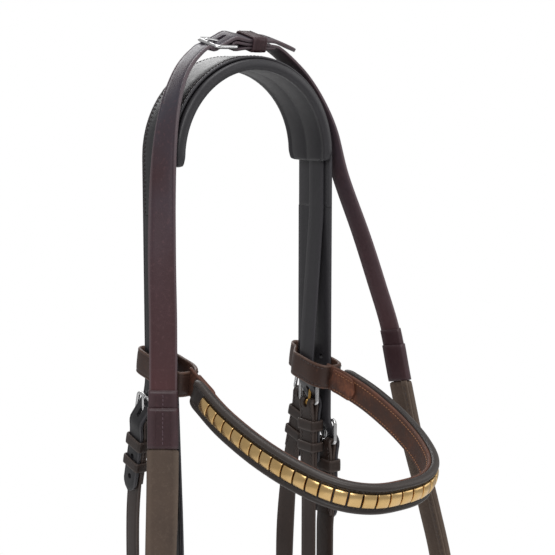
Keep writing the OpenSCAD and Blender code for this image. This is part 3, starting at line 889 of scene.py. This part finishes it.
# ---------------------------------------------------------------- stage and camera
SURROUND = 0.45
LIGHTS = [("key", (-1.5, -1.5, 1.2), 24, 1.3), ("fill", (1.5, -1.0, 0.5), 9, 1.6),
          ("back", (0.4, 1.7, 1.0), 16, 1.4), ("top", (0.1, -0.2, 1.5), 12, 1.0)]


def build_stage():
    """A pale floor under the bridle, a white surround and four soft lights."""
    scene = bpy.context.scene
    scene.view_settings.view_transform = "Standard"
    low = cad_box[0][2]
    bm = bmesh.new()
    bmesh.ops.create_circle(bm, cap_ends=True, segments=96, radius=1.4)
    floor_paint = Nodes("floor_paint")
    tone = floor_paint.noise(floor_paint.coordinates(), 3.0)
    floor_paint.link(floor_paint.mix(tone, (0.86, 0.86, 0.86), (0.9, 0.9, 0.9)), "Base Color")
    floor_paint.set("Roughness", 0.7)
    floor = new_object("floor", bm, floor_paint.material, False)
    floor.location = (0, 0, low - 0.03)
    world = bpy.data.worlds.new("studio")
    scene.world = world
    world.use_nodes = True
    tree = world.node_tree
    background = tree.nodes["Background"]
    background.inputs["Color"].default_value = (1, 1, 1, 1)
    seen = tree.nodes.new("ShaderNodeLightPath")
    level = tree.nodes.new("ShaderNodeMapRange")
    level.inputs["To Min"].default_value = SURROUND
    level.inputs["To Max"].default_value = 1.0
    tree.links.new(seen.outputs["Is Camera Ray"], level.inputs["Value"])
    tree.links.new(level.outputs["Result"], background.inputs["Strength"])
    for name, place, energy, size in LIGHTS:
        light = bpy.data.lights.new(name, "AREA")
        light.energy = energy
        light.size = size
        lamp = bpy.data.objects.new(name, light)
        scene.collection.objects.link(lamp)
        lamp.location = place
        aim = Vector((0, 0, -0.3)) - Vector(place)
        lamp.rotation_euler = aim.to_track_quat("-Z", "Y").to_euler()


def build_camera(azimuth=-37.0, elevation=8.0, distance=1.0,
                 target=(0.0215, -0.0161, -0.1478), lens=90.0):
    a, e = math.radians(azimuth), math.radians(elevation)
    away = Vector((math.sin(a) * math.cos(e), -math.cos(a) * math.cos(e), math.sin(e)))
    camera = bpy.data.objects.new("camera", bpy.data.cameras.new("camera"))
    bpy.context.scene.collection.objects.link(camera)
    camera.location = Vector(target) + away * distance
    camera.rotation_euler = (-away).to_track_quat("-Z", "Y").to_euler()
    camera.data.lens = lens
    camera.data.clip_start = 0.01
    bpy.context.scene.camera = camera


build_camera()
build_stage()


# ---------------------------------------------------------------- headpiece
SPLIT_Z = -100.0


def crown_rows(r, low, y):
    """Up the off side, over the crown and down the near side."""
    arc = [(x, y, z) for x, z in arc_rows(r, 180, 0, 30, -CROWN_R)]
    return [(-r, y, low)] + arc + [(r, y, low)]


def build_headpiece():
    crown = straight(crown_rows(HEAD_X, SPLIT_Z, 0), (0, 1, 0))
    parts = [strap("headpiece", crown, CROWN_W, STRAP_T, CROWN_LEATHER)]
    stitches = fold_sewing(crown, CROWN_W, [(0, crown.length())], STRAP_T, 3.2, 3.0)
    for side in SIDES:
        m = mirror_of(side)
        cheek = sided(side, lap_line(lap_rows(SPLIT_Z - CHEEK_HEEL_Z, 62)).moved(AT_CHEEK))
        piece = strap("billet", cheek, CHEEK_W, STRAP_T, CROWN_LEATHER, tip=9)
        punch(piece, tongue_slots(m @ AT_CHEEK)[0] + holes(m @ AT_CHEEK, (-30, -48, 46, 66)))
        parts.append(piece)
        upper = filleted([(HEAD_X, THROAT_Y, SPLIT_Z), (HEAD_X, THROAT_Y, THROAT_PIVOT_Z),
                          AT_THROAT @ Vector((LAP_IN, 0, FRAME_H))], 40, 10)[:-1]
        lap = lap_line(lap_rows(FRAME_H + 1, 56)).moved(AT_THROAT)
        throat = sided(side, straight(upper, (0, 1, 0)) + lap)
        piece = strap("billet", throat, THROAT_W, STRAP_T, CROWN_LEATHER, tip=8)
        punch(piece, tongue_slots(m @ AT_THROAT)[0] + holes(m @ AT_THROAT, (-28, -44)))
        parts.append(piece)
    stand_in(join("headpiece_leather", parts), "crown_leather", "headpiece")
    sew("headpiece", stitches, "headpiece", (2.1, 0.7, 0.5))


def build_crown_padding():
    """A stuffed pad under the crown, rolled at each side, with a channel for the headstrap."""
    path = straight(crown_rows(CROWN_R + PAD_T / 2, -66, 0), (0, 1, 0))
    top = [(-18.6, 4.6), (-17, 4.85), (-14.2, 4.8), (-13.4, 2.3), (-9, 2.3), (-5, 2.3), (0, 2.3),
           (3.4, 2.3), (4.2, 4.8), (8, 4.85), (12, 4.85), (16.5, 4.85), (18.6, 4.6)]
    roll = [(19.4, 5.3), (20.6, 5.6), (22, 5.0), (22.9, 3.6), (23.2, 1.6), (22.9, -0.4),
            (22, -1.8), (20.5, -2.5)]
    under = [(18.5, -2.0), (17.5, -1.5), (16.5, -2.0), (12, -2.9), (6, -3.1), (1.2, -2.4)]
    rows = top + roll + under + [(0, -1.7)]
    rows += [(-u, v) for u, v in reversed(roll + under)]
    # The rolls get more of the paler edge colour: a painted highlight along the rolled edges.
    section = [(u, v, 0.4 if abs(u) > 19 else 0.1) for u, v in rows]
    pad = sweep("crown_padding", path, section, CROWN_LEATHER, size=pad_end(7, 0.9))
    soften(pad)
    stand_in(pad, "crown_leather", "headpiece_padding")


# ---------------------------------------------------------------- straps below the headpiece
def build_cheekpiece(side):
    m = mirror_of(side)
    name = "cheekpiece_" + side
    drop = RING_TOP_Z - CHEEK_HEEL_Z
    rows = (fold_rows(56) + [(FOLD_LEG, -50), (0, -66)]
            + [(x, z + drop) for x, z in ring_fold_rows(100, 56)])
    path = sided(side, lap_line(rows).moved(AT_CHEEK))
    piece = strap(name + "_leather", path, CHEEK_W, LIGHT_T, STRAP_LEATHER, tip=6)
    punch(piece, tongue_slots(m @ AT_CHEEK)[1] + stud_hole(m @ AT_RING_TOP))
    stand_in(piece, "strap_leather", name)
    total = path.length()
    spans = [(2, 52), (66, 116), (total - 150, total - 84), (total - 56, total - 8)]
    sew(name, fold_sewing(path, CHEEK_W, spans), name)
    billet_loops("cheek_billet_loops_" + side, side, AT_RING_TOP, CHEEK_W, STRAP_LEATHER,
                 "strap_leather", "cheek_billet_keepers_" + side)
    buckle_parts("cheek", "_" + side, side, AT_CHEEK, CHEEK_W, (-13, 9), (-32, 8))


def build_throatlash():
    fold = lap_line(fold_rows(48) + [(FOLD_LEG, -26)]).moved(AT_THROAT)
    route = route_path(THROAT_ROUTE)
    path = fold + route.cut(12, route.length() - 12) + fold.mirrored().reversed()
    piece = strap("throatlash_leather", path, THROAT_W, LIGHT_T, STRAP_LEATHER)
    total = path.length()
    spans = [(2, 46), (60, 100), (total - 100, total - 60), (total - 46, total - 2)]
    cuts = []
    for side in SIDES:
        cuts += tongue_slots(mirror_of(side) @ AT_THROAT)[1]
        buckle_parts("throat", "_" + side, side, AT_THROAT, THROAT_W, (-13, 8), (-30, 7))
    stand_in(punch(piece, cuts), "strap_leather", "throatlash")
    sew("throatlash", fold_sewing(path, THROAT_W, spans), "throatlash")


# ---------------------------------------------------------------- noseband and its headstrap
def build_headstrap():
    off_x = NOSE_HALF + NOSE_T / 2 + LIGHT_T / 2
    start = [(-off_x, NOSE_Y, -442), (-off_x, NOSE_Y, -330)]
    up = filleted(start + crown_rows(HEADSTRAP_X, -105, NOSE_Y), 30)
    path = straight(up, (0, 1, 0)) + lap_line(lap_rows(24, 50)).moved(AT_HEADSTRAP)
    piece = strap("headstrap_leather", path, NOSE_W, LIGHT_T, CROWN_LEATHER, tip=8, butt=5)
    punch(piece, tongue_slots(AT_HEADSTRAP)[0] + holes(AT_HEADSTRAP, (-26, -40)))
    stand_in(piece, "crown_leather", "noseband_headstrap")
    sew("headstrap", fold_sewing(path, NOSE_W, [(3, 24)]), "noseband_headstrap")
    rows = fold_rows(50) + [(FOLD_LEG, -46), (0, -62), (-0.1, -150), (-0.1, -195)]
    near = lap_line(rows).moved(AT_HEADSTRAP)
    piece = strap("noseband_cheek_leather", near, NOSE_W, LIGHT_T, STRAP_LEATHER, tip=5)
    stand_in(punch(piece, tongue_slots(AT_HEADSTRAP)[1]), "strap_leather", "noseband_cheek")
    total = near.length()
    spans = [(2, 48), (60, 106), (total - 24, total - 4)]
    sew("noseband_cheek", fold_sewing(near, NOSE_W, spans), "noseband_cheek")
    buckle_parts("headstrap", "", "right", AT_HEADSTRAP, NOSE_W, (-13, 8), (-30, 7),
                 TONGUE_BRASS, "brass_hardware")


def nose_line(r, near_y, off_y):
    """The noseband in plan, from the near side forward round the nose to the off side."""
    arc = [(x, y, 0) for x, y in arc_rows(r, 0, -180, 24, NOSE_FRONT_Y)]
    return straight([(r, near_y, 0)] + arc + [(-r, off_y, 0)], (0, 0, -1))


def build_noseband():
    fold = lap_line(fold_rows(44) + [(FOLD_LEG, -40), (0, -56)]).moved(AT_NOSE_BUCKLE)
    path = fold + nose_line(NOSE_HALF, 4, 20).moved(AT_NOSEBAND)
    narrow, wide = NOSE_W, NOSE_H
    start = fold.length() - 14

    def size(s, total):
        u = min(max((s - start) / 34, 0), 1)
        w = (narrow + (wide - narrow) * u * u * (3 - 2 * u)) / wide
        end = total - s
        if end < 12:
            w *= 0.55 + 0.45 * math.sin(math.pi / 2 * end / 12)
        return w, (0.75 if s < start else 0.75 + 0.25 * u)
    section = flat_section(wide, NOSE_T, 1.1, 0.5)
    piece = sweep("noseband_leather", path, section, STRAP_LEATHER, size=size)
    stand_in(punch(piece, tongue_slots(AT_NOSE_BUCKLE)[1]), "strap_leather", "noseband_band")
    places = fold_sewing(path, NOSE_W, [(2, 42), (56, 92)])
    front = [(fold.length() + 22, path.length() - 14)]
    places += fold_sewing(path, NOSE_H, front, NOSE_T, 4.2, 3.0)
    sew("noseband", places, "noseband_band")

    pad_line = nose_line(NOSE_HALF - NOSE_T / 2 - GAP - 2.5, -24, -24).moved(AT_NOSEBAND)
    half = NOSE_H / 2 + 1
    face = [(-half + 3.2, 2.4), (-6, 2.5), (0, 2.5), (6, 2.5), (half - 3.2, 2.4)]
    roll = [(half - 1.5, 2.9), (half - 0.2, 2.2), (half + 0.4, 0.6), (half, -1.2),
            (half - 1.6, -2.6)]
    back = [(half - 3.6, -3.0), (6, -3.4), (1.2, -2.9)]
    rows = face + roll + back + [(0, -2.2)] + [(-u, v) for u, v in reversed(roll + back)]
    section = [(u, v, 0.3) for u, v in rows]
    pad = sweep("noseband_pad", pad_line, section, BROW_LEATHER, size=pad_end(8, 0.8))
    soften(pad)
    stand_in(pad, "strap_leather", "noseband_padding")

    inside = NOSE_HALF - NOSE_T / 2 - LIGHT_T / 2
    rear = [(x, y, 0) for x, y in arc_rows(inside, 180, 25, 20, 70)]
    lap = lap_line([(LAP_IN, 24)] + lap_rows(18.5, 46)).moved(AT_NOSE_BUCKLE)
    chin = straight([(-inside, 0, 0)] + rear, (0, 0, -1)).moved(AT_NOSEBAND) + lap
    piece = strap("chin_strap_leather", chin, NOSE_W, LIGHT_T, STRAP_LEATHER, tip=8, butt=4)
    punch(piece, tongue_slots(AT_NOSE_BUCKLE)[0] + holes(AT_NOSE_BUCKLE, (-26, -38)))
    stand_in(piece, "strap_leather", "noseband_chin_strap")
    buckle_parts("noseband", "", "right", AT_NOSE_BUCKLE, NOSE_W, (-13, 7), (-25, 6))


# ---------------------------------------------------------------- browband
def shifted(path, d):
    """The same strap moved outward by d."""
    return Path([p + n * d for p, _, _, n in path.frames()], path.across)


def build_browband():
    middle = straight(smooth(BROW_ROUTE, 8), (0, 0, -1)).moved(AT_BROWBAND)
    near_end, off_end = [AT_BROWBAND @ Vector(p) for p in ((61.6, 0.5, -6), (-61.8, 3.5, 7.6))]
    whole = straight([near_end] + middle.points + [off_end], middle.across[0])
    lining = strap("browband_lining", whole, BROW_H - 1, BROW_STRAP_T, LINING_LEATHER, edge=1.0)
    stand_in(lining, "lining_leather", "browband_strap")
    inner = middle.flipped()
    places = fold_sewing(inner, BROW_H, [(8, inner.length() - 8)], BROW_STRAP_T, 3.4, 3.0)
    sew("browband_lining", places, "browband_strap", (2.2, 0.8, 0.6), TAN_THREAD)

    pad_mid = shifted(middle, BROW_STRAP_T / 2 + BROW_PAD_T / 2)
    pad_mid = pad_mid.cut(7, pad_mid.length() - 8)
    h = BROW_H / 2 + 0.4
    # across points down here: the upper roll is the fuller one
    upper = [(-h + 3.9, 1.7), (-h + 3.3, 2.9), (-h + 1.9, 3.4), (-h + 0.4, 2.8),
             (-h - 0.5, 1.2), (-h - 0.5, -0.8), (-h + 0.3, -2.2), (-h + 1.6, -2.5)]
    lower = [(h - 3.5, 1.7), (h - 2.9, 2.6), (h - 1.7, 3.0), (h - 0.4, 2.4), (h + 0.3, 1.0),
             (h + 0.2, -0.8), (h - 0.5, -2.1), (h - 1.6, -2.5)]
    rows = [(-4, 1.6), (0, 1.6), (4, 1.6)] + lower + [(4, -2.4), (-4, -2.4)] + list(reversed(upper))
    # The outward face of each roll gets the paler edge colour: a painted highlight line along both
    # rolls.
    section = [(u, v, 0.55 if abs(u) > h - 2.6 and v > 0 else 0.15) for u, v in rows]
    pad = sweep("browband_pad", pad_mid, section, BROW_LEATHER, size=pad_end(6, 0.86, 1.0),
                step=2.2)
    soften(pad)
    stand_in(pad, "strap_leather", "browband_padding")
    places = two_rows(pad_mid, h - 4.0, 1.95, 6, pad_mid.length() - 6, 2.9)
    sew("browband_pad", places, "browband_padding", (2.0, 0.6, 0.5))
    build_plates(shifted(middle, BROW_STRAP_T / 2 + BROW_PAD_T + 0.55))
    for side in SIDES:
        build_brow_loop(side, middle)


def build_plates(face):
    """Half-round clincher plates side by side along the band's channel."""
    pitch = PLATE_L + 1.0
    total = face.length()
    count = 2 * int((total / 2 - 13) / pitch)
    # along the plate from its middle, as a share of half its length, and the rise there
    rises = [(-1.0, -0.5), (-0.97, 0.0), (-0.93, 0.22), (-0.86, 0.36), (0.86, 0.36),
             (0.93, 0.22), (0.97, 0.0), (1.0, -0.5)]
    steep = math.radians(78)
    turns = [steep * (q - 7) / 7 for q in range(15)]
    bm = bmesh.new()
    for k in range(count):
        p, heading, across = face.at(total / 2 + (k - (count - 1) / 2) * pitch)
        out = heading.cross(across)
        rows = []
        for u, rise in rises:
            row = [(math.sin(t) / math.sin(steep) * PLATE_H / 2,
                    (math.cos(t) - 0.2) * 1.9 + rise - 0.4) for t in turns]
            row += [(PLATE_H / 2, -1.1), (-PLATE_H / 2, -1.1)]
            rows.append([bm.verts.new((p + heading * (u * PLATE_L / 2) + across * v + out * h) * MM)
                         for v, h in row])
        for a, b in zip(rows, rows[1:]):
            bridge(bm, a, b)
        bm.faces.new(rows[0][::-1])
        bm.faces.new(rows[-1])
    stand_in(solid("clincher_plates", bm, PLATE_BRASS, 40), "plate_brass", "browband_plates")


def build_brow_loop(side, middle):
    """The band's end, taken round the straps of the headpiece and sewn back to the band."""
    place = at(0, BROW_Y, LOOP_Z[side]) @ turn("X", 11)
    around = smooth([(x, y, 0) for x, y in [LOOP_PLAN[-1]] + LOOP_PLAN + LOOP_PLAN[:2]], 6)[6:-6]
    path = sided(side, straight(around, (0, 0, 1)).moved(place))
    name = "browband_loop_" + side
    section = flat_section(LOOP_H, 2.6, 1.1, 0.2)
    loop = sweep(name + "_leather", path, section, LOOP_LEATHER, closed=True, step=1.2)
    total = path.length()
    places = []
    for start, end in ((8, 30), (total - 30, total - 6)):
        places += two_rows(path, LOOP_H / 2 - 2.4, 1.45, start, end, 3.0)
    stand_in(loop, "strap_leather", name)
    sew(name, places, name, (2.1, 0.7, 0.55))
    near = middle if side == "right" else middle.reversed()
    tab_path = shifted(near, -2.2).cut(1, 27).flipped()
    tab = strap("tab", tab_path, BROW_H - 2.6, 1.8, TAB_LEATHER, tip=6, butt=2, step=1.5)
    places = two_rows(tab_path, 6.4, 1.05, 3, tab_path.length() - 4, 2.8)
    sewing = beads("s", places, (2.0, 0.7, 0.55), TAN_THREAD)
    trim(join(name + "_tab", [tab, sewing]), name)


# ---------------------------------------------------------------- reins
def rein_path(side, first, last):
    """A stretch of a rein, with its outward face away from the horse."""
    path = route_path(REIN_ROUTES[side], first, last)
    return path if side == "right" else path.flipped()


def build_reins():
    right = lap_line(fold_rows(34) + [(FOLD_LEG, -26)]).moved(AT_REIN_BUCKLE)
    hand = rein_path("right", 0, SPLICE_FROM)
    path = right + hand.cut(7, hand.length())
    piece = strap("rein_hand_right_leather", path, REIN_W, LIGHT_T, REIN_LEATHER)
    stand_in(punch(piece, tongue_slots(AT_REIN_BUCKLE)[1]), "rein_leather", "rein_hand_right")
    sew("rein_hand_right", fold_sewing(path, REIN_W, [(2, 32), (44, 74)]),
        "rein_hand_right", material=PLUM_THREAD)

    rows = lap_rows(17.5, 34) + [(LAP_FLAT - 3.5, -46), (LAP_FLAT - 8, -58)]
    billet = lap_line(rows).moved(AT_REIN_BUCKLE).reversed()
    path = billet + rein_path("left", 0, SPLICE_FROM)
    piece = strap("rein_hand_left_leather", path, REIN_W, STRAP_T, REIN_LEATHER, butt=10)
    punch(piece, tongue_slots(AT_REIN_BUCKLE)[0] + holes(AT_REIN_BUCKLE, (-34,)))
    stand_in(piece, "rein_leather", "rein_hand_left")
    stand_in(keeper("rein_loop", "right", AT_REIN_BUCKLE, REIN_W, -13, 12, SPLICE_LEATHER),
             "rein_leather", "rein_keeper")
    prong = tongue("rein_prong", "right", AT_REIN_BUCKLE, NICKEL)
    stand_in(prong, "buckle_nickel", "rein_tongue")
    for side in SIDES:
        build_splices(side)
        build_grip(side)
        build_rein_billet(side)


def build_splices(side):
    """Each join between leather and rubber: a thin wrap, then a fuller one sewn down its middle."""
    parts, places = [], []
    for first, last, toward_grip in ((SPLICE_FROM, GRIP_FROM, True), (GRIP_TO, SPLICE_TO, False)):
        path = rein_path(side, first, last)
        path = path if toward_grip else path.reversed()
        split = path.length() * 0.3
        thin = path.cut(0, split + 1.5)
        full = path.cut(split, path.length())
        parts.append(strap("thin", thin, REIN_W + 1.0, 3.9, SPLICE_LEATHER, edge=1.4, groove=0))
        parts.append(strap("full", full, REIN_W + 2.4, 5.4, SPLICE_LEATHER, edge=2.0, groove=0))
        places += stitch_line(full, 0, 2.85, 2, full.length() - 2, 2.9)
        places += stitch_line(thin, 0, 2.1, 2, thin.length() - 1, 2.9)
        for offset in (-5.0, 5.0):
            ridge = Path([p + a * offset + n * 2.62 for p, _, a, n in full.frames()][1:-1],
                         full.across[1:-1])
            parts.append(strap("seam", ridge, 0.9, 0.5, SPLICE_LEATHER, groove=0, edge=0.2))
    name = "rein_splices_" + side
    stand_in(join(name + "_leather", parts), "rein_leather", name)
    sew(name, places, name, (2.1, 0.7, 0.55), PLUM_THREAD)


def build_grip(side):
    """Rubber wrapped round the rein, with its sewn lap along one edge."""
    path = rein_path(side, GRIP_FROM, GRIP_TO)
    half, top = GRIP_W / 2, 2.4
    rows = []
    for k in range(9):
        q = math.radians(-90 + 22.5 * k)
        rows.append((half - 2.1 + 2.1 * math.cos(q), 2.25 * math.sin(q)))
    face = [(u * half, top - 0.05 + 0.25 * (1 - u * u)) for u in (0.62, 0.3, 0, -0.3, -0.62)]
    # Edge mask: a painted highlight, full on one rounded edge and half on the other.
    section = [(u, v, 1.0) for u, v in rows[2:7]] + [(u, v, 0.0) for u, v in face]
    section += [(-u, v, 0.5) for u, v in reversed(rows)]
    section += [(-0.3 * half, -top, 0), (0.3 * half, -top, 0)]
    grip = sweep("rein_grip_" + side + "_rubber", path, section, GRIP_RUBBER, step=3.0)
    soften(grip)
    stand_in(grip, "grip_rubber", "rein_grip_" + side)
    lap = Path(*zip(*[(p - a * (half - 4.2) - n * 2.75, a)
                      for p, _, a, n in path.resampled(4).frames()]))
    strip = strap("rein_grip_lap_" + side, lap, 6.0, 1.1, GRIP_RUBBER, edge=0.45, groove=0,
                  step=4.0)
    places = stitch_line(lap.flipped(), 0, 0.7, 3, lap.length() - 3, 4.2)
    trim(join("rein_grip_seam_" + side, [strip, beads("s", places, (2.9, 0.8, 0.6), DARK_THREAD)]),
         "rein_grip_" + side)


def build_rein_billet(side):
    name = "rein_billet_" + side
    fold = sided(side, lap_line(ring_fold_rows(76, 56)).moved(AT_REIN_FOLD))
    down = rein_path(side, SPLICE_TO, len(REIN_ROUTES[side]) - 1)
    if down.frames()[-1][3].dot(fold.frames()[0][3]) <= 0:
        fold = fold.flipped()
    path = down.cut(0, down.length() - 4) + fold
    piece = strap(name + "_leather", path, REIN_W, LIGHT_T, REIN_LEATHER, tip=6)
    punch(piece, stud_hole(mirror_of(side) @ AT_REIN_FOLD))
    stand_in(piece, "rein_leather", name)
    total = path.length()
    places = fold_sewing(path, REIN_W, [(total - 148, total - 84), (total - 56, total - 8)])
    sew(name, places, name, material=PLUM_THREAD)
    billet_loops("rein_billet_loops_" + side, side, AT_REIN_FOLD, REIN_W, REIN_LEATHER,
                 "rein_leather", "rein_billet_keepers_" + side)


# ---------------------------------------------------------------- metal kept from the CAD
def finish_metal():
    kept = {"bit_ring": (STEEL, "bit_steel"), "bit_cannon": (STEEL, "bit_steel"),
            "hook_studs": (NICKEL, "buckle_nickel")}
    for name, obj in frame["nodes"].items():
        found = [v for k, v in kept.items() if name.startswith(k)]
        if name.endswith("_buckle") or "_buckle_" in name:
            found = [(NICKEL, "buckle_nickel")]
        if not found:
            continue
        material, slot = found[0]
        for index in range(len(obj.material_slots)):
            obj.material_slots[index].material = material
        if not obj.material_slots:
            obj.data.materials.append(material)


build_headpiece()
build_crown_padding()
for side in SIDES:
    build_cheekpiece(side)
build_throatlash()
build_headstrap()
build_noseband()
build_browband()
build_reins()
finish_metal()
